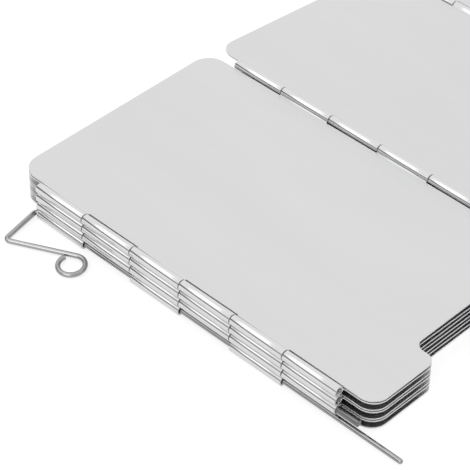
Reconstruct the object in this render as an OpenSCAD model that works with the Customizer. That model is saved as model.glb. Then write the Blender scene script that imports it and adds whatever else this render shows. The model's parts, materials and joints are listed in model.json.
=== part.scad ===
// Folding aluminium windscreen for a camp stove, lying on a table with most of its panels stacked.
// Nine sheet panels are joined by rolled knuckles on steel pins, and a wire peg slides at each free edge.
// X runs across the panels, Y from the feet to the top edge, Z up from the table.

/* [Panels] */
// Height of a panel from its feet to its top edge
panel_h = 132; // [110:1:180]
// Distance between the two hinge pins of a panel, along the sheet
hinge_pitch = 78; // [68:1:110]
// Thickness of the sheet
sheet_t = 0.45; // [0.3:0.05:0.6]
// Radius of the two top corners
top_corner_r = 6; // [2:0.5:8]
// Radius of the outer corner of each foot
foot_corner_r = 5; // [2:0.5:8]
// Width of each foot
foot_w = 23.5; // [16:0.5:27]
// Depth of the air gap between the feet
recess_d = 7.5; // [7:0.5:12]
// Radius of the inner corner of each foot
foot_inner_r = 3; // [1:0.5:3.5]
// Radius where a foot runs into the air gap
recess_r = 3; // [1:0.5:3.5]

/* [Hinges] */
// Outside diameter of a rolled knuckle
knuckle_d = 3; // [2.6:0.1:4]
// Length of a hinge, centred on the panel's height
hinge_l = 112; // [90:1:114]
// Knuckles along one hinge, taken in turn by its two panels
knuckle_count = 6; // [4:2:8]
// End play between neighbouring knuckles
knuckle_play = 0.4; // [0.2:0.1:1]
// Distance from the middle of a pin to the middle of each sheet it joins
sheet_offset = 0.35; // [0.3:0.05:0.6]
// Gap between a knuckle and the edge of the other panel's sheet
edge_gap = 0.6; // [0.4:0.05:1]
// Thinning of the sheet where it is bent up to a knuckle
ramp_thin = 0.03; // [0.02:0.01:0.05]
// Angle through which a sheet's edge is rolled round its pin
roll_angle = 300; // [240:5:305]
// Running clearance between a pin and the roll round it
pin_clear = 0.05; // [0.02:0.01:0.1]
// Distance from each end of a hinge to a seated pin
pin_recess = 1; // [0:0.5:4]
// Length of the loose pin that stands out below its hinge
loose_pin_out = 7; // [0:0.5:9]
// Chamfer on the ends of a pin
pin_chamfer = 0.3; // [0.1:0.05:0.5]

/* [Fold] */
// Gap between one folded knuckle row and the next
row_gap = 0.1; // [0.05:0.05:0.5]

/* [Ground pegs] */
// Clearance between a peg and the knuckles it slides in
peg_clear = 0.3; // [0.15:0.05:0.5]
// Length of a peg from the middle of its handle's arm to its tip
peg_l = 135; // [120:1:170]
// Gap between the top knuckle and the first bend of the peg
peg_seat_gap = 0.3; // [0.1:0.1:2]
// Radius of the handle's bends, taken at the middle of the wire
bend_r = 1.2; // [0.9:0.1:2]
// Thinning of the wire where it is bent
bend_thin = 0.02; // [0.01:0.01:0.05]
// Reach of the handle's arm out from the rod
handle_w = 13.8; // [11:0.1:20]
// Fall of the arm towards the feet over its reach
handle_drop = 2.1; // [0.5:0.1:5]
// Distance along the rod from the top of the handle to the eye
handle_l = 21.5; // [16:0.5:30]
// Distance from the rod to the start of the eye
eye_offset = 4.7; // [4:0.1:7]
// Radius of the eye, taken at the middle of the wire
eye_r = 3.75; // [3:0.05:5]
// Angle through which the wire goes round the eye
eye_angle = 310; // [240:1:310]

/* [Hidden] */
$fn = 64;

// Panels 1 to 7 lie in the stack, panel 8 slopes from its top to the table and panel 9 lies beyond.
stack_panels = 7;
last_panel = 9;
loose_pin = 2;

knuckle_r = knuckle_d / 2;
bore_r = knuckle_r - sheet_t;
pin_r = bore_r - pin_clear;
peg_r = bore_r - peg_clear;
knuckle_step = hinge_l / knuckle_count;
knuckle_l = knuckle_step - knuckle_play;
pin_l = hinge_l - 2 * pin_recess;
loose_shift = pin_recess + loose_pin_out;
wrap_r = knuckle_r - sheet_t / 2;
sheet_edge = knuckle_r + edge_gap;
sheet_w = hinge_pitch - 2 * sheet_edge;
recess_w = sheet_w - 2 * foot_w;

// One pin of a panel lies a little below its sheet and the other above, so the line between them leans.
pin_rise = 2 * sheet_offset;
link = norm([hinge_pitch, pin_rise]);
lean = atan2(pin_rise, hinge_pitch);
row_pitch = knuckle_d + row_gap;
fold = 2 * asin(row_pitch / (2 * link));

// Direction in the XZ plane of the line from a panel's first pin to its second.
function is_odd(k) = k % 2 == 1;
function slope() = asin((pin_at(stack_panels)[1] - knuckle_r) / link);
function link_dir(k) = k == stack_panels + 1 ? -slope() : is_odd(k) ? 0 : 180 - fold;
function sheet_dir(k) = link_dir(k) + (is_odd(k) ? -lean : lean);

// Centre in the XZ plane of the pin after panel k. Pin 0 and the last one are the two ground pegs.
function pin_at(k) = k == 0 ? [0, knuckle_r]
    : pin_at(k - 1) + link * [cos(link_dir(k)), sin(link_dir(k))];

// Where sheet or wire is bent it is a little thinner, and laps this far into what it joins.
bend_lap = 0.1;

// The peg's wire: tip, top of the handle, outer corner of the handle, start of the eye.
corner = [[0, peg_r - peg_l], [0, 0], [-handle_w, -handle_drop], [-eye_offset, -handle_l]];
function heading(i) = atan2(corner[i + 1][1] - corner[i][1], corner[i + 1][0] - corner[i][0]);
function turn(i) = (heading(i) - heading(i - 1) + 360) % 360;
function trim(i) = i == 1 || i == 2 ? bend_r * tan(turn(i) / 2) : 0;
function lap(i) = i == 0 ? 0 : bend_lap;
function along(i, d) = corner[i] + d * [cos(heading(i)), sin(heading(i))];
peg_tilt = asin((knuckle_r - peg_r) / handle_w);
peg_top = hinge_l / 2 - knuckle_play / 2 + peg_seat_gap + trim(1);

// The origin is on the table, under the middle of the whole object.
mid_x = pin_at(last_panel)[0] / 2;
mid_y = (panel_h / 2 + peg_top - peg_l) / 2;

// Puts its children at a pin, with y measured from the middle of the panel's height.
module at_pin(k) {
    translate([pin_at(k)[0] - mid_x, -mid_y, pin_at(k)[1]])
        children();
}

module both_edges() {
    children();
    translate([hinge_pitch, 0])
        mirror([1, 0])
            children();
}

// What a rounded corner takes away, for a corner at the origin with the material towards sx and sy.
module round_off(r, sx, sy) {
    translate([min(0, sx * r), min(0, sy * r)])
        difference() {
            square(r);
            translate([sx < 0 ? 0 : r, sy < 0 ? 0 : r])
                circle(r);
        }
}

module recess_outline() {
    difference() {
        translate([sheet_edge + foot_w, -panel_h / 2])
            square([recess_w, recess_d]);
        both_edges()
            translate([sheet_edge + foot_w, recess_d - panel_h / 2])
                round_off(recess_r, 1, -1);
    }
}

module body_outline() {
    difference() {
        translate([sheet_edge, -panel_h / 2])
            square([sheet_w, panel_h]);
        both_edges() {
            translate([sheet_edge, panel_h / 2])
                round_off(top_corner_r, 1, -1);
            translate([sheet_edge, -panel_h / 2])
                round_off(foot_corner_r, 1, 1);
            translate([sheet_edge + foot_w, -panel_h / 2])
                round_off(foot_inner_r, -1, 1);
        }
        recess_outline();
    }
}

// Middle of a knuckle, counted from the top of the hinge.
function knuckle_y(i) = hinge_l / 2 - (i - 0.5) * knuckle_step;

// The sheet is bent up in a ramp from its edge until it meets the roll over the pin.
// Its radius and the direction in which it meets the roll follow from the sheet's height over the pin.
function ramp_r(h) = (sheet_edge * sheet_edge + h * h - wrap_r * wrap_r) / (2 * (wrap_r - h));
function ramp_end(h) = atan2(h + ramp_r(h), sheet_edge);
function lap_angle(r) = 2 * asin(bend_lap / (2 * r));

// A bend of the sheet about the Y axis, counted anticlockwise from the direction of the angle start.
module sheet_bend(i, r, thin, start, angle) {
    translate([0, knuckle_y(i), 0])
        rotate([90, -start, 0])
            rotate_extrude(angle = angle)
                translate([r, 0])
                    square([sheet_t - thin, knuckle_l - thin], center = true);
}

// A knuckle about its pin, for a sheet that lies towards +X at the height h over the pin.
module knuckle(i, h) {
    r = ramp_r(h);
    sheet_bend(i, wrap_r, 0, ramp_end(h), roll_angle);
    translate([sheet_edge, 0, h + r])
        sheet_bend(i, r, ramp_thin, 180 + ramp_end(h) - lap_angle(r), 90 - ramp_end(h) + 2 * lap_angle(r));
}

// A panel about its first pin. Side 1 has its sheet above that pin and below the second, -1 the reverse.
module panel_body(side) {
    translate([0, 0, side * sheet_offset - sheet_t / 2])
        linear_extrude(sheet_t)
            body_outline();
    for (i = [1 : 2 : knuckle_count])
        knuckle(i, side * sheet_offset);
    translate([hinge_pitch, 0, side * pin_rise])
        mirror([1, 0, 0])
            for (i = [2 : 2 : knuckle_count])
                knuckle(i, -side * sheet_offset);
}

module panel(k) {
    color("gainsboro")
        at_pin(k - 1)
            rotate([0, -sheet_dir(k), 0])
                panel_body(is_odd(k) ? 1 : -1);
}

module hinge_pin(k) {
    shaft_l = pin_l - 2 * pin_chamfer;
    color("silver")
        at_pin(k)
            translate([0, k == loose_pin ? -loose_shift : 0, 0])
                rotate([90, 0, 0]) {
                    cylinder(h = shaft_l, r = pin_r, center = true);
                    for (side = [0, 1])
                        mirror([0, 0, side])
                            translate([0, 0, shaft_l / 2])
                                cylinder(h = pin_chamfer, r1 = pin_r, r2 = pin_r - pin_chamfer);
                }
}

module wire_straight(i) {
    straight_l = norm(corner[i + 1] - corner[i]) - trim(i) - trim(i + 1);
    translate(along(i, trim(i) - lap(i)))
        rotate([0, 90, heading(i)])
            cylinder(h = straight_l + lap(i) + lap(i + 1), r = peg_r);
}

// A bend to the left of the heading, or to the right if the side is -1.
module wire_bend(start, heading, r, angle, side) {
    translate(start)
        rotate(heading)
            mirror([0, side < 0 ? 1 : 0, 0])
                translate([0, r, 0])
                    rotate(-90)
                        rotate_extrude(angle = angle)
                            translate([r, 0])
                                circle(peg_r - bend_thin);
}

module peg_tip() {
    rotate_extrude()
        intersection() {
            circle(peg_r);
            square(peg_r);
        }
}

// A peg lying in the XY plane, with its rod on the Y axis and its handle towards -X.
module peg_wire() {
    for (i = [0 : 2])
        wire_straight(i);
    translate(corner[0])
        rotate([90, 0, 0])
            peg_tip();
    for (i = [1, 2]) {
        bend_start = along(i - 1, norm(corner[i] - corner[i - 1]) - trim(i));
        wire_bend(bend_start, heading(i - 1), bend_r, turn(i), 1);
    }
    wire_bend(corner[3], heading(2), eye_r, eye_angle, -1);
}

module ground_peg(k, flip) {
    color("lightgray")
        at_pin(k)
            mirror([flip, 0, 0])
                translate([0, peg_top, 0])
                    rotate([0, -peg_tilt, 0])
                        peg_wire();
}

module panel_1() { panel(1); }
module panel_2() { panel(2); }
module panel_3() { panel(3); }
module panel_4() { panel(4); }
module panel_5() { panel(5); }
module panel_6() { panel(6); }
module panel_7() { panel(7); }
module panel_8() { panel(8); }
module panel_9() { panel(9); }
module hinge_pin_1() { hinge_pin(1); }
module hinge_pin_2() { hinge_pin(2); }
module hinge_pin_3() { hinge_pin(3); }
module hinge_pin_4() { hinge_pin(4); }
module hinge_pin_5() { hinge_pin(5); }
module hinge_pin_6() { hinge_pin(6); }
module hinge_pin_7() { hinge_pin(7); }
module hinge_pin_8() { hinge_pin(8); }
module ground_peg_1() { ground_peg(0, 0); }
module ground_peg_2() { ground_peg(last_panel, 1); }

panel_1();
panel_2();
panel_3();
panel_4();
panel_5();
panel_6();
panel_7();
panel_8();
panel_9();
hinge_pin_1();
hinge_pin_2();
hinge_pin_3();
hinge_pin_4();
hinge_pin_5();
hinge_pin_6();
hinge_pin_7();
hinge_pin_8();
ground_peg_1();
ground_peg_2();
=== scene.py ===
import json
import math

import bmesh
import bpy
from mathutils import Matrix, Vector


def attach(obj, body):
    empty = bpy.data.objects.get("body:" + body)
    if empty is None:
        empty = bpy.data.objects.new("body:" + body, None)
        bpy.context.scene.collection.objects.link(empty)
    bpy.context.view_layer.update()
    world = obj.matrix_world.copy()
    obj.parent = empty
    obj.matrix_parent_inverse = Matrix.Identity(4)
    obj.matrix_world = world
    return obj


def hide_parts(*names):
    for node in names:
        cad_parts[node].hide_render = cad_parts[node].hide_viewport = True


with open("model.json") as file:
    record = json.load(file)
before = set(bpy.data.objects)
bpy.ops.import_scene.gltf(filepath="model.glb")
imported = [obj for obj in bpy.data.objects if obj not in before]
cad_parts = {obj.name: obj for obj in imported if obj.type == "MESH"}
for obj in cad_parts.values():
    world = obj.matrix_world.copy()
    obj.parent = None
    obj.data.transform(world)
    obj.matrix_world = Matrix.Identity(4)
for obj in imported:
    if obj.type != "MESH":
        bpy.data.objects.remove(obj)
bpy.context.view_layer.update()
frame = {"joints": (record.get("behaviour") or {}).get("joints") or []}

mm = 0.001
tiny = 1e-7             # points nearer than this are the same point
panelCount = 9


def addNode(tree, kind, inputs=None, **settings):
    node = tree.nodes.new(kind)
    for key, value in settings.items():
        setattr(node, key, value)
    for key, value in (inputs or {}).items():
        node.inputs[key].default_value = value
    return node


# fine lines drawn along Y, and slow clouds of tone, for every metal here
def makeDrawnGrain():
    group = bpy.data.node_groups.new("drawnGrain", "ShaderNodeTree")
    for name, kind in (("Vector", "NodeSocketVector"), ("Across", "NodeSocketFloat"),
                       ("Along", "NodeSocketFloat"), ("Cloud Size", "NodeSocketFloat")):
        group.interface.new_socket(name, in_out="INPUT", socket_type=kind)
    for name in ("Grain", "Cloud"):
        group.interface.new_socket(name, in_out="OUTPUT", socket_type="NodeSocketFloat")
    link = group.links.new
    given = addNode(group, "NodeGroupInput")
    result = addNode(group, "NodeGroupOutput")
    stretch = addNode(group, "ShaderNodeCombineXYZ")
    link(given.outputs["Across"], stretch.inputs["X"])
    link(given.outputs["Along"], stretch.inputs["Y"])
    link(given.outputs["Across"], stretch.inputs["Z"])
    drawn = addNode(group, "ShaderNodeVectorMath", operation="MULTIPLY")
    link(given.outputs["Vector"], drawn.inputs[0])
    link(stretch.outputs["Vector"], drawn.inputs[1])
    lines = addNode(group, "ShaderNodeTexNoise",
                    {"Scale": 1.0, "Detail": 4.0, "Roughness": 0.6})
    link(drawn.outputs["Vector"], lines.inputs["Vector"])
    link(lines.outputs["Fac"], result.inputs["Grain"])
    squeeze = addNode(group, "ShaderNodeVectorMath", {1: (1.0, 0.3, 1.0)},
                      operation="MULTIPLY")
    link(given.outputs["Vector"], squeeze.inputs[0])
    cloud = addNode(group, "ShaderNodeTexNoise", {"Detail": 3.0, "Roughness": 0.5})
    link(squeeze.outputs["Vector"], cloud.inputs["Vector"])
    link(given.outputs["Cloud Size"], cloud.inputs["Scale"])
    link(cloud.outputs["Fac"], result.inputs["Cloud"])
    return group


drawnGrain = makeDrawnGrain()


noiseSpan = (0.3, 0.7)    # the part of the noise's range that carries tone and roughness


def makeMetal(name, look):
    material = bpy.data.materials.new(name)
    material.use_nodes = True
    tree = material.node_tree
    link = tree.links.new
    shader = tree.nodes["Principled BSDF"]
    shader.inputs["Metallic"].default_value = 1.0
    place = addNode(tree, "ShaderNodeTexCoord")
    grain = addNode(tree, "ShaderNodeGroup", node_tree=drawnGrain)
    grain.inputs["Across"].default_value = look["across"]
    grain.inputs["Along"].default_value = look["along"]
    grain.inputs["Cloud Size"].default_value = look["cloudSize"]
    link(place.outputs["Object"], grain.inputs["Vector"])
    # tone follows the clouds, with a little of the grain on top
    share = addNode(tree, "ShaderNodeMix", {"Factor": look["grainShare"]}, data_type="FLOAT")
    link(grain.outputs["Cloud"], share.inputs["A"])
    link(grain.outputs["Grain"], share.inputs["B"])
    tone = addNode(tree, "ShaderNodeValToRGB")
    tone.color_ramp.elements[0].position = noiseSpan[0]
    tone.color_ramp.elements[0].color = (*look["dark"], 1.0)
    tone.color_ramp.elements[1].position = noiseSpan[1]
    tone.color_ramp.elements[1].color = (*look["light"], 1.0)
    link(share.outputs["Result"], tone.inputs["Fac"])
    link(tone.outputs["Color"], shader.inputs["Base Color"])
    rough = addNode(tree, "ShaderNodeMapRange", {
        "From Min": noiseSpan[0], "From Max": noiseSpan[1],
        "To Min": look["rough"][0], "To Max": look["rough"][1]})
    link(share.outputs["Result"], rough.inputs["Value"])
    link(rough.outputs["Result"], shader.inputs["Roughness"])
    bump = addNode(tree, "ShaderNodeBump",
                   {"Strength": look["bump"], "Distance": look["depth"]})
    link(grain.outputs["Grain"], bump.inputs["Height"])
    link(bump.outputs["Normal"], shader.inputs["Normal"])
    return material


sheetFace = makeMetal("satinSheet", {
    "dark": (0.705, 0.706, 0.708), "light": (0.745, 0.745, 0.746), "rough": (0.28, 0.34),
    "across": 2600, "along": 60, "cloudSize": 38,
    "grainShare": 0.35, "bump": 0.05, "depth": 0.00001})
# the rolls are smoother than the sheet, and their lighter colour is a painted highlight that
# whitens their shine
rollPaintedHighlight = makeMetal("burnishedRoll", {
    "dark": (0.735, 0.736, 0.738), "light": (0.765, 0.765, 0.766), "rough": (0.1, 0.14),
    "across": 2600, "along": 60, "cloudSize": 60,
    "grainShare": 0.4, "bump": 0.04, "depth": 0.00001})
# the cut rim is rough and torn; its much lighter colour is a painted highlight for the light
# its edge catches
cutRimPaintedHighlight = makeMetal("shearedEdge", {
    "dark": (0.76, 0.76, 0.77), "light": (0.9, 0.9, 0.91), "rough": (0.7, 0.85),
    "across": 5200, "along": 2400, "cloudSize": 420,
    "grainShare": 0.6, "bump": 0.25, "depth": 0.00002})
# the pins' very dark colour is painted shade, for the shadow they lie in under the stack
pinPaintedShade = makeMetal("drawnPin", {
    "dark": (0.16, 0.16, 0.165), "light": (0.25, 0.25, 0.255), "rough": (0.2, 0.32),
    "across": 7000, "along": 90, "cloudSize": 160,
    "grainShare": 0.5, "bump": 0.15, "depth": 0.00001})
pegSteel = makeMetal("bentWire", {
    "dark": (0.37, 0.37, 0.375), "light": (0.46, 0.46, 0.465), "rough": (0.09, 0.14),
    "across": 2600, "along": 700, "cloudSize": 140,
    "grainShare": 0.5, "bump": 0.03, "depth": 0.00001})
print("materials made")


flatArea = 10 * mm * mm             # a larger face is part of the flat sheet
softAngle = math.radians(24)        # a sharper edge shows as an edge


def finishPiece(bm, name, materials, body, node):
    mesh = bpy.data.meshes.new(name)
    for face in bm.faces:    # flat faces stay flat, bends and rounded rims are shaded smooth
        face.smooth = face.calc_area() < flatArea
    for edge in bm.edges:
        edge.smooth = len(edge.link_faces) == 2 and edge.calc_face_angle(0) < softAngle
    bm.to_mesh(mesh)
    bm.free()
    for material in materials:
        mesh.materials.append(material)
    piece = bpy.data.objects.new(name, mesh)
    bpy.context.scene.collection.objects.link(piece)
    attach(piece, body)
    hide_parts(node)
    return piece


def near(a, b):
    return abs(a - b) < tiny


def turnUp(degrees):    # lifts +X towards +Z
    return Matrix.Rotation(math.radians(-degrees), 4, "Y")


layDown = Matrix.Rotation(math.radians(90), 3, "X")    # from standing along Z to lying along Y

panel = {
    "height": 132 * mm, "pitch": 78 * mm, "sheet": 0.45 * mm, "edge": 1.85 * mm,
    "knuckle": 1.5 * mm,    # outer radius of a rolled knuckle
    "offset": 0.35 * mm,    # from the middle of the sheet up or down to the middle of a pin
    "footWidth": 23.5 * mm, "recess": 7.5 * mm,
    "topCorner": 6 * mm, "footCorner": 5 * mm, "footInner": 3 * mm, "recessCorner": 3 * mm,
    "hinge": 112 * mm, "knuckles": 6, "play": 0.4 * mm, "roll": 300, "rollSteps": 60,
    "rampSteps": 14, "cornerSteps": 12,
    "edgeRound": 0.1 * mm, "roundSteps": 2, "sharpFrom": math.radians(50),
}
panel["rise"] = 2 * panel["offset"]
panel["link"] = math.hypot(panel["pitch"], panel["rise"])
panel["lean"] = math.degrees(math.atan2(panel["rise"], panel["pitch"]))


def knuckleSpan(i):    # lowest and highest y of knuckle i, counted from the top
    step = panel["hinge"] / panel["knuckles"]
    middle = panel["hinge"] / 2 - (i - 0.5) * step
    half = (step - panel["play"]) / 2
    return middle - half, middle + half


def roundCorners(bm, corners, radius):
    found = [v for v in bm.verts
             if any(near(v.co.x, x) and near(v.co.y, y) for x, y in corners)]
    bmesh.ops.bevel(bm, geom=found, offset=radius, offset_type="OFFSET",
                    segments=panel["cornerSteps"], profile=0.5, affect="VERTICES",
                    material=-1, clamp_overlap=False)


# bends the sheet's upper side up from its edge and rolls it over the pin
def rollEdge(bm, knuckleList, pin, height, side):
    edge, wrap = panel["edge"], panel["knuckle"] - panel["sheet"] / 2
    rampRadius = (edge ** 2 + height ** 2 - wrap ** 2) / (2 * (wrap - height))
    meet = math.atan2(height + rampRadius, edge)
    rampCentre = pin + Vector((side * edge, 0, height + rampRadius))
    for i in knuckleList:
        low, high = knuckleSpan(i)
        ends = [v for v in bm.verts
                if near(v.co.x, rampCentre.x) and low - tiny < v.co.y < high + tiny]
        strip = ends + [e for e in bm.edges if all(v in ends for v in e.verts)]
        ramp = bmesh.ops.spin(bm, geom=strip, cent=rampCentre, axis=(0, side, 0),
                              dvec=(0, 0, 0), angle=math.pi / 2 - meet,
                              steps=panel["rampSteps"], use_merge=False)
        bmesh.ops.spin(bm, geom=ramp["geom_last"], cent=pin, axis=(0, -side, 0),
                       dvec=(0, 0, 0), angle=math.radians(panel["roll"]),
                       steps=panel["rollSteps"], use_merge=False)


def makePanelSurface(side):
    bm = bmesh.new()
    p = panel
    left, right = p["edge"], p["pitch"] - p["edge"]
    low, high = -p["height"] / 2, p["height"] / 2
    footLeft, footRight = left + p["footWidth"], right - p["footWidth"]
    recessTop = low + p["recess"]
    bmesh.ops.create_grid(bm, x_segments=1, y_segments=1, size=0.5)
    bmesh.ops.scale(bm, vec=(right - left, high - low, 1), verts=bm.verts)
    upperSide = side * p["offset"] + p["sheet"] / 2
    bmesh.ops.translate(bm, vec=(p["pitch"] / 2, 0, upperSide), verts=bm.verts)
    # score the sheet at the feet and at the ends of each knuckle
    scores = [((footLeft, 0, 0), (1, 0, 0)), ((footRight, 0, 0), (1, 0, 0)),
              ((0, recessTop, 0), (0, 1, 0))]
    for i in range(1, p["knuckles"] + 1):
        scores += [((0, y, 0), (0, 1, 0)) for y in knuckleSpan(i)]
    for point, across in scores:
        bmesh.ops.bisect_plane(bm, geom=bm.verts[:] + bm.edges[:] + bm.faces[:], dist=tiny,
                               plane_co=point, plane_no=across)
    gap = [f for f in bm.faces
           if footLeft < f.calc_center_median().x < footRight
           and f.calc_center_median().y < recessTop]
    bmesh.ops.delete(bm, geom=gap, context="FACES")
    bmesh.ops.dissolve_faces(bm, faces=bm.faces[:], use_verts=False)
    roundCorners(bm, [(left, high), (right, high)], p["topCorner"])
    roundCorners(bm, [(left, low), (right, low)], p["footCorner"])
    roundCorners(bm, [(footLeft, low), (footRight, low)], p["footInner"])
    roundCorners(bm, [(footLeft, recessTop), (footRight, recessTop)], p["recessCorner"])
    firstPin, nextPin = Vector((0, 0, 0)), Vector((p["pitch"], 0, side * p["rise"]))
    rollEdge(bm, range(1, p["knuckles"] + 1, 2), firstPin, side * p["offset"], 1)
    rollEdge(bm, range(2, p["knuckles"] + 1, 2), nextPin, -side * p["offset"], -1)
    bmesh.ops.remove_doubles(bm, verts=bm.verts, dist=tiny)
    bmesh.ops.recalc_face_normals(bm, faces=bm.faces)
    if max(bm.faces, key=lambda f: f.calc_area()).normal.z < 0:
        bmesh.ops.reverse_faces(bm, faces=bm.faces)
    return bm


# satin on the wide sheet; the cut rim is rough and gets a lighter colour as a painted
# highlight; the bends and rolls are smoother and lighter, the lighter colour a painted
# highlight
def markSurfaces(bm, sharp):
    shortEdge = 1.2 * panel["sheet"]
    for face in bm.faces:
        if all(e in sharp or e.calc_length() < shortEdge for e in face.edges):
            face.material_index = 1
        else:
            face.material_index = 0 if face.calc_area() > flatArea else 2


def makePanel(k, firstPin, sheetDir):
    # every second panel has its sheet below its first pin
    bm = makePanelSurface(1 if k % 2 else -1)
    bmesh.ops.solidify(bm, geom=bm.faces[:], thickness=panel["sheet"])
    sharp = [e for e in bm.edges if e.calc_face_angle(0) > panel["sharpFrom"]]
    markSurfaces(bm, set(sharp))
    rounded = bmesh.ops.bevel(bm, geom=sharp, offset=panel["edgeRound"], offset_type="OFFSET",
                              segments=panel["roundSteps"], profile=0.5, affect="EDGES",
                              material=-1, clamp_overlap=True)
    # the rounded rims take the cut rim's lighter colour, a painted highlight
    for face in rounded["faces"]:
        face.material_index = 1
    place = Matrix.Translation(firstPin) @ turnUp(sheetDir)
    bmesh.ops.transform(bm, matrix=place, verts=bm.verts)
    if bm.calc_volume(signed=True) < 0:
        bmesh.ops.reverse_faces(bm, faces=bm.faces)
    name = "panel_%d" % k
    surfaces = [sheetFace, cutRimPaintedHighlight, rollPaintedHighlight]
    return finishPiece(bm, "sheetPanel%d" % k, surfaces, name, name)


hingePlace = {j["name"]: Vector(j["pos_m"])
              for j in frame["joints"] if j["name"].startswith("hinge_")}
pinPlace = [hingePlace["hinge_%d" % k] for k in range(1, panelCount)]
# the pegs stand where a first and a last pin would
pinPlace.insert(0, pinPlace[0] - Vector((panel["link"], 0, 0)))
pinPlace.append(pinPlace[-1] + Vector((panel["link"], 0, 0)))
for k in range(1, panelCount + 1):
    reach = pinPlace[k] - pinPlace[k - 1]
    linkDir = math.degrees(math.atan2(reach.z, reach.x))
    sheetDir = linkDir + (-panel["lean"] if k % 2 else panel["lean"])
    makePanel(k, pinPlace[k - 1], sheetDir)
print("panels rolled")


hingePin = {
    "radius": 1.0 * mm, "length": 110 * mm, "sides": 40,
    "endRound": 0.3 * mm, "roundSteps": 4, "rimFrom": math.radians(60),
    "loosePin": 2, "looseShift": 8 * mm,    # one pin has slid out at the feet
}


def makeHingePin(k):
    bm = bmesh.new()
    bmesh.ops.create_cone(bm, segments=hingePin["sides"], radius1=hingePin["radius"],
                          radius2=hingePin["radius"], depth=hingePin["length"], cap_ends=True)
    rims = [e for e in bm.edges if e.calc_face_angle(0) > hingePin["rimFrom"]]
    bmesh.ops.bevel(bm, geom=rims, offset=hingePin["endRound"], offset_type="OFFSET",
                    segments=hingePin["roundSteps"], profile=0.5, affect="EDGES",
                    material=-1, clamp_overlap=True)
    bmesh.ops.rotate(bm, verts=bm.verts, cent=(0, 0, 0), matrix=layDown)
    shift = hingePin["looseShift"] if k == hingePin["loosePin"] else 0
    bmesh.ops.translate(bm, verts=bm.verts, vec=pinPlace[k] - Vector((0, shift, 0)))
    return finishPiece(bm, "hingePin%d" % k, [pinPaintedShade], "panel_%d" % k,
                       "hinge_pin_%d" % k)


for k in range(1, panelCount):
    makeHingePin(k)
print("pins set")


peg = {
    "radius": 0.75 * mm, "length": 135 * mm, "seatGap": 0.3 * mm, "bend": 1.2 * mm,
    "handleWidth": 13.8 * mm, "handleDrop": 2.1 * mm, "handleLength": 21.5 * mm,
    "eyeOffset": 4.7 * mm, "eyeRadius": 3.75 * mm, "eyeAngle": 310,
    "tipRound": 0.92, "eyeRound": 0.25,    # rounding of the two ends, as a share of the radius
    "sides": 24, "bendSteps": 14, "eyeSteps": 64, "roundSteps": 6,
}


def heading(a, b):
    return math.atan2(b.y - a.y, b.x - a.x)


def leftOf(direction):
    return Vector((-math.sin(direction), math.cos(direction), 0))


def edgesOf(ring):
    return [g for g in ring if isinstance(g, bmesh.types.BMEdge)]


# moves the wire's open end straight on
def drawStraight(bm, ring, vec):
    drawn = bmesh.ops.extrude_edge_only(bm, edges=edgesOf(ring))["geom"]
    tip = [g for g in drawn if isinstance(g, bmesh.types.BMVert)]
    bmesh.ops.translate(bm, verts=tip, vec=vec)
    return tip + [e for e in edgesOf(drawn) if all(v in tip for v in e.verts)]


# bends the wire's open end round a point, anticlockwise from above where the angle is positive
def drawBend(bm, ring, centre, angle, steps):
    return bmesh.ops.spin(bm, geom=ring, cent=centre, axis=(0, 0, 1), dvec=(0, 0, 0),
                          angle=angle, steps=steps, use_merge=False)["geom_last"]


def closeEnd(bm, ring, share):
    edges = edgesOf(ring)
    bmesh.ops.contextual_create(bm, geom=edges)
    bmesh.ops.bevel(bm, geom=edges, offset=share * peg["radius"], offset_type="OFFSET",
                    segments=peg["roundSteps"], profile=0.5, affect="EDGES",
                    material=-1, clamp_overlap=True)


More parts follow.
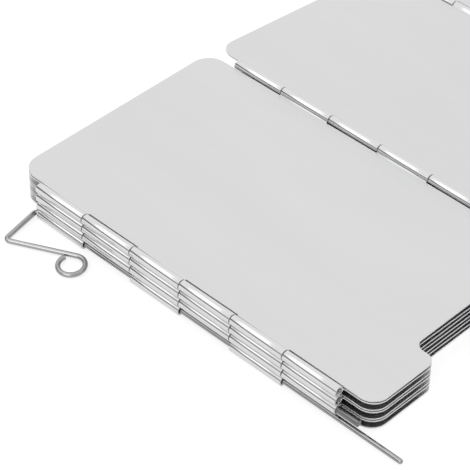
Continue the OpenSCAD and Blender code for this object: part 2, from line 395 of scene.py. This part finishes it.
def makePeg(number, pin, flip):
    bm = bmesh.new()
    start = Vector((0, -peg["length"], 0))
    top = Vector((0, 0, 0))
    outer = Vector((-peg["handleWidth"], -peg["handleDrop"], 0))
    eye = Vector((-peg["eyeOffset"], -peg["handleLength"], 0))
    armDir, backDir = heading(top, outer), heading(outer, eye)
    turnTop = (armDir - math.pi / 2) % (2 * math.pi)
    turnOuter = (backDir - armDir) % (2 * math.pi)
    trimTop = peg["bend"] * math.tan(turnTop / 2)
    trimOuter = peg["bend"] * math.tan(turnOuter / 2)
    bmesh.ops.create_circle(bm, segments=peg["sides"], radius=peg["radius"], cap_ends=False)
    bmesh.ops.rotate(bm, verts=bm.verts, cent=(0, 0, 0), matrix=layDown)
    bmesh.ops.translate(bm, verts=bm.verts, vec=start)
    tipRing = bm.verts[:] + bm.edges[:]
    ring = drawStraight(bm, tipRing, Vector((0, peg["length"] - trimTop, 0)))
    ring = drawBend(bm, ring, Vector((-peg["bend"], -trimTop, 0)), turnTop, peg["bendSteps"])
    armLength = (outer - top).length - trimTop - trimOuter
    arm = (outer - top).normalized()
    ring = drawStraight(bm, ring, arm * armLength)
    bendFrom = outer - arm * trimOuter
    bendCentre = bendFrom + leftOf(armDir) * peg["bend"]
    ring = drawBend(bm, ring, bendCentre, turnOuter, peg["bendSteps"])
    back = (eye - outer).normalized()
    ring = drawStraight(bm, ring, back * ((eye - outer).length - trimOuter))
    eyeCentre = eye - leftOf(backDir) * peg["eyeRadius"]
    ring = drawBend(bm, ring, eyeCentre, -math.radians(peg["eyeAngle"]), peg["eyeSteps"])
    closeEnd(bm, tipRing, peg["tipRound"])
    closeEnd(bm, ring, peg["eyeRound"])
    bmesh.ops.remove_doubles(bm, verts=bm.verts, dist=tiny)
    bmesh.ops.recalc_face_normals(bm, faces=bm.faces)
    pegTop = panel["hinge"] / 2 - panel["play"] / 2 + peg["seatGap"] + trimTop
    # the handle leans down until its wire lies on the table
    tilt = math.degrees(math.asin((panel["knuckle"] - peg["radius"]) / peg["handleWidth"]))
    place = Matrix.Translation((0, pegTop, 0)) @ turnUp(tilt)
    if flip:
        place = Matrix.Scale(-1, 4, (1, 0, 0)) @ place
    bmesh.ops.transform(bm, matrix=Matrix.Translation(pin) @ place, verts=bm.verts)
    if bm.calc_volume(signed=True) < 0:
        bmesh.ops.reverse_faces(bm, faces=bm.faces)
    node = "ground_peg_%d" % number
    return finishPiece(bm, "wirePeg%d" % number, [pegSteel], node, node)


makePeg(1, pinPlace[0], False)
makePeg(2, pinPlace[-1], True)
print("pegs bent")


table = {"half": 3, "colour": (0.38, 0.38, 0.38), "cameraLift": 0.74, "glossyLift": 0.6}


def makeTable():
    bm = bmesh.new()
    bmesh.ops.create_grid(bm, x_segments=2, y_segments=2, size=table["half"])
    mesh = bpy.data.meshes.new("paleTable")
    bm.to_mesh(mesh)
    bm.free()
    material = bpy.data.materials.new("paleTable")
    material.use_nodes = True
    tree = material.node_tree
    link = tree.links.new
    tree.nodes.remove(tree.nodes["Principled BSDF"])
    matt = addNode(tree, "ShaderNodeBsdfDiffuse", {"Color": (*table["colour"], 1)})
    # lifts the table to white in the picture and in the metal, without lighting the object
    rays = addNode(tree, "ShaderNodeLightPath")
    bounced = addNode(tree, "ShaderNodeMath", operation="MAXIMUM")
    link(rays.outputs["Is Glossy Ray"], bounced.inputs[0])
    link(rays.outputs["Is Transmission Ray"], bounced.inputs[1])
    mirrored = addNode(tree, "ShaderNodeMath", {1: table["glossyLift"]}, operation="MULTIPLY")
    link(bounced.outputs["Value"], mirrored.inputs[0])
    seen = addNode(tree, "ShaderNodeMath", {1: table["cameraLift"]}, operation="MULTIPLY_ADD")
    link(rays.outputs["Is Camera Ray"], seen.inputs[0])
    link(mirrored.outputs["Value"], seen.inputs[2])
    lift = addNode(tree, "ShaderNodeEmission")
    link(seen.outputs["Value"], lift.inputs["Strength"])
    both = addNode(tree, "ShaderNodeAddShader")
    link(matt.outputs["BSDF"], both.inputs[0])
    link(lift.outputs["Emission"], both.inputs[1])
    link(both.outputs["Shader"], tree.nodes["Material Output"].inputs["Surface"])
    mesh.materials.append(material)
    top = bpy.data.objects.new("paleTable", mesh)
    bpy.context.scene.collection.objects.link(top)


studio = {
    "tent": 0.97,    # how bright the white tent round the table is
    # the tent is darker low down in front
    "frontFrom": -0.36, "frontTo": -0.14, "frontShare": 0.12, "frontLift": 2.4,
    # a dim seam, by the height of the sight line, in the back corner beside the stack
    "seam": [(0.14, 1), (0.18, 0.14), (0.43, 0.14), (0.46, 1)],
    "seamFrom": -1.1, "seamTo": -0.85,
    # where each lamp stands, which way its long side runs, its size and power
    "softboxes": [
        {"name": "hingeStrip", "place": (-0.43, 0.575, 0.88), "long": (-0.94, 0, -0.34),
         "size": (1.25, 0.6), "power": 0.9},
        {"name": "wireStrip", "place": (-0.92, -0.08, 0.73), "long": (0, 1, 0),
         "size": (0.8, 0.7), "power": 2.3, "only": ["wirePeg1", "wirePeg2"]},
    ],
    "aim": (-0.06, 0, 0),
}


def makeTent():
    world = bpy.data.worlds.new("studio")
    bpy.context.scene.world = world
    world.use_nodes = True
    tree = world.node_tree
    link = tree.links.new
    room = tree.nodes["Background"]
    room.inputs["Color"].default_value = (1, 1, 1, 1)
    sight = addNode(tree, "ShaderNodeTexCoord")
    parts = addNode(tree, "ShaderNodeSeparateXYZ")
    link(sight.outputs["Generated"], parts.inputs["Vector"])
    seam = addNode(tree, "ShaderNodeValToRGB")
    stops = seam.color_ramp.elements
    while len(stops) < len(studio["seam"]):
        stops.new(1.0)
    for stop, (height, tone) in zip(stops, studio["seam"]):
        stop.position, stop.color = height, (tone, tone, tone, 1)
    link(parts.outputs["Z"], seam.inputs["Fac"])
    beside = addNode(tree, "ShaderNodeMapRange", {
        "From Min": studio["seamFrom"], "From Max": studio["seamTo"],
        "To Min": 0.0, "To Max": 1.0}, interpolation_type="SMOOTHSTEP")
    corner = addNode(tree, "ShaderNodeMath", operation="SUBTRACT")
    link(parts.outputs["X"], corner.inputs[0])
    link(parts.outputs["Y"], corner.inputs[1])
    link(corner.outputs["Value"], beside.inputs["Value"])
    walls = addNode(tree, "ShaderNodeMath", operation="MAXIMUM")
    link(seam.outputs["Color"], walls.inputs[0])
    link(beside.outputs["Result"], walls.inputs[1])
    front = addNode(tree, "ShaderNodeMapRange", {
        "From Min": studio["frontFrom"], "From Max": studio["frontTo"],
        "To Min": studio["frontShare"] * studio["tent"], "To Max": studio["tent"]},
        interpolation_type="SMOOTHSTEP")
    lowFront = addNode(tree, "ShaderNodeMath", {1: studio["frontLift"]},
                       operation="MULTIPLY_ADD")
    link(parts.outputs["Z"], lowFront.inputs[0])
    link(parts.outputs["Y"], lowFront.inputs[2])
    link(lowFront.outputs["Value"], front.inputs["Value"])
    tent = addNode(tree, "ShaderNodeMath", operation="MULTIPLY")
    link(walls.outputs["Value"], tent.inputs[0])
    link(front.outputs["Result"], tent.inputs[1])
    link(tent.outputs["Value"], room.inputs["Strength"])


def makeLamps():
    aim = Vector(studio["aim"])
    for box in studio["softboxes"]:
        lamp = bpy.data.lights.new(box["name"], "AREA")
        lamp.shape = "RECTANGLE"
        lamp.size, lamp.size_y = box["size"]
        lamp.energy = box["power"]
        holder = bpy.data.objects.new(lamp.name, lamp)
        holder.location = box["place"]
        back = (holder.location - aim).normalized()
        long = Vector(box["long"])
        along = (long - back * back.dot(long)).normalized()
        turned = Matrix((along, back.cross(along), back)).transposed()
        holder.rotation_euler = turned.to_euler()
        bpy.context.scene.collection.objects.link(holder)
        if "only" in box:    # this lamp is kept off the wide sheets
            lit = bpy.data.collections.new(box["name"])
            for name in box["only"]:
                lit.objects.link(bpy.data.objects[name])
            holder.light_linking.receiver_collection = lit


# fitted to the photo
shot = {
    "azimuth": 45.554, "elevation": 41.715, "distance": 0.60624,
    "target": (-0.089874, 0.012472, 0.007),
    "lens": 171.4, "sensor": 36, "nearest": 0.01,
}


def makeCamera():
    a, e = math.radians(shot["azimuth"]), math.radians(shot["elevation"])
    look = Vector((math.sin(a) * math.cos(e), math.cos(a) * math.cos(e), -math.sin(e)))
    lens = bpy.data.cameras.new("shot")
    lens.lens, lens.sensor_width = shot["lens"], shot["sensor"]
    lens.clip_start = shot["nearest"]
    camera = bpy.data.objects.new("shot", lens)
    camera.location = Vector(shot["target"]) - look * shot["distance"]
    camera.rotation_euler = look.to_track_quat("-Z", "Y").to_euler()
    bpy.context.scene.collection.objects.link(camera)
    bpy.context.scene.camera = camera


makeTable()
makeTent()
makeLamps()
makeCamera()
bpy.context.scene.view_settings.view_transform = "Standard"
print("studio set")
